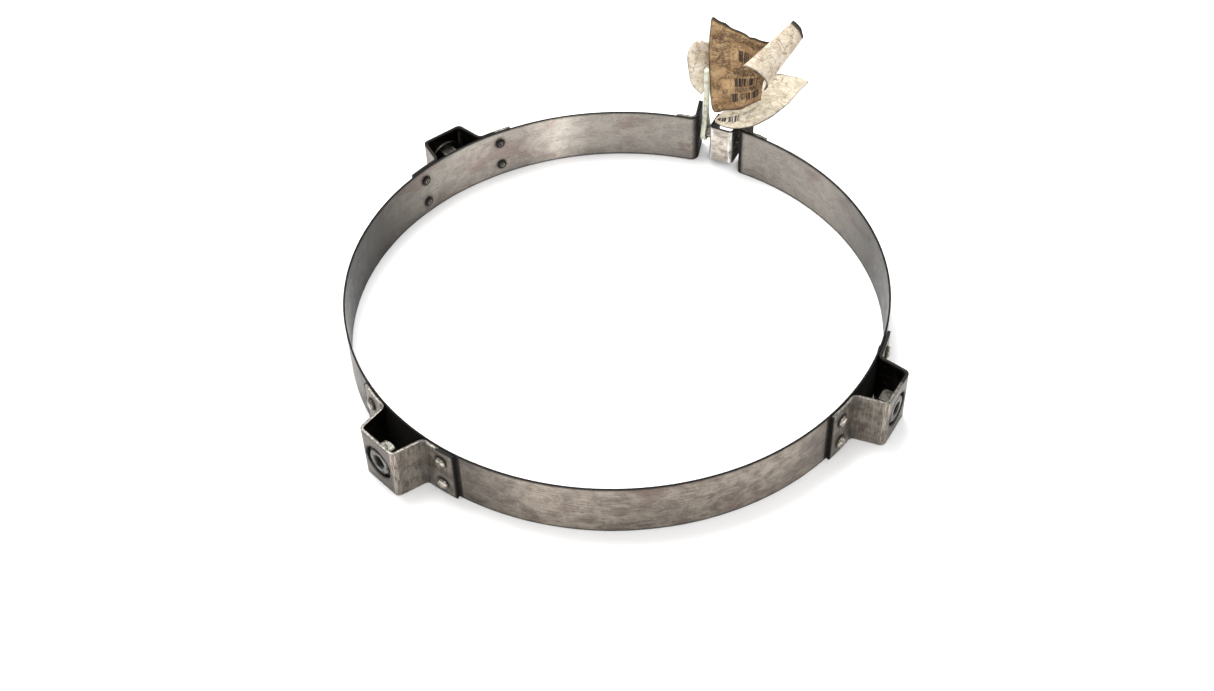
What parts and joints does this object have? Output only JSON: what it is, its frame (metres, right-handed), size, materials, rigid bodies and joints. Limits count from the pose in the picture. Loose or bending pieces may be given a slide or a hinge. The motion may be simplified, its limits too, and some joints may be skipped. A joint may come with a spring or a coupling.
{
  "type": "pipe clamp",
  "caption": "Strap ring clamp for a large pipe, closed by a tangential bolt, with riveted hat brackets that hold weld nuts and a bundle of paper tags tied on.",
  "frame": {"origin": "on the ring axis, level with the lower edge of the strap, the middle of the pipe that the strap goes round", "axes": "+Z along the pipe, +Y out through the bolted gap, +X along the bolt towards its nut"},
  "size_m": [0.2571, 0.2845, 0.0752],
  "materials": {
    "stained_strap": "brushed lengthwise, brown and purple heat stains",
    "bracket_steel": "dull, stained, edges rubbed bright",
    "spacer_steel": "brighter, mottled",
    "bolt_steel": "plain machined",
    "nut_steel": "plain machined",
    "rivet_steel": "worn bright on the domes",
    "kraft_paper": "printed, creased and greasy",
    "cream_paper": "printed, stained and curled",
    "tie_plastic": "aged nylon"
  },
  "bodies": {
    "ring_left": {"strap_left": "stained_strap", "lug_left": "bracket_steel", "clamp_bolt": "bolt_steel", "bolt_washer": "bolt_steel", "hat_bracket_a": "bracket_steel", "weld_nut_a": "nut_steel", "rivet_a1": "rivet_steel", "rivet_a2": "rivet_steel", "rivet_a3": "rivet_steel", "rivet_a4": "rivet_steel", "hat_bracket_c": "bracket_steel", "weld_nut_c": "nut_steel", "rivet_c1": "rivet_steel", "rivet_c2": "rivet_steel", "rivet_c3": "rivet_steel", "rivet_c4": "rivet_steel"},
    "ring_right": {"strap_right": "stained_strap", "lug_right": "bracket_steel", "hat_bracket_b": "bracket_steel", "weld_nut_b": "nut_steel", "rivet_b1": "rivet_steel", "rivet_b2": "rivet_steel", "rivet_b3": "rivet_steel", "rivet_b4": "rivet_steel"},
    "spacer": {"gap_spacer": "spacer_steel"},
    "nut_side_washer": {"nut_washer": "bolt_steel"},
    "clamp_nut": {"lock_nut": "bolt_steel"},
    "tag_bundle": {"tag_brown": "kraft_paper", "tag_lower": "cream_paper", "tag_left": "cream_paper", "tag_rolled": "cream_paper", "cable_tie": "tie_plastic"}
  },
  "joints": [
    {"name": "nut_turn", "type": "hinge", "parent": "nut_side_washer", "child": "clamp_nut", "pos_m": [0.0145, 0.1251, 0.0127], "axis": [-1, 0, 0], "range_deg": [-1585, 1810]},
    {"name": "nut_travel", "type": "slide", "parent": "ring_left", "child": "nut_side_washer", "axis": [-1, 0, 0], "range_m": [-0.0035, 0.004]},
    {"name": "ring_close", "type": "hinge", "parent": "ring_left", "child": "ring_right", "pos_m": [0, -0.1179, 0.0127], "axis": [0, 0, 1], "range_deg": [-0.82, 0.94]},
    {"name": "spacer_travel", "type": "slide", "parent": "ring_left", "child": "spacer", "axis": [-1, 0, 0], "range_m": [-0.00175, 0.002]},
    {"name": "tag_swing", "type": "hinge", "parent": "ring_left", "child": "tag_bundle", "pos_m": [-0.0114, 0.1251, 0.0127], "axis": [-1, 0, 0], "range_deg": [-10, 20]}
  ],
  "couplings": [
    {"joint": "nut_travel", "follows": "ring_close", "m_per_rad": 0.243},
    {"joint": "nut_turn", "follows": "ring_close", "ratio": 1923.5},
    {"joint": "spacer_travel", "follows": "ring_close", "m_per_rad": 0.1215}
  ]
}
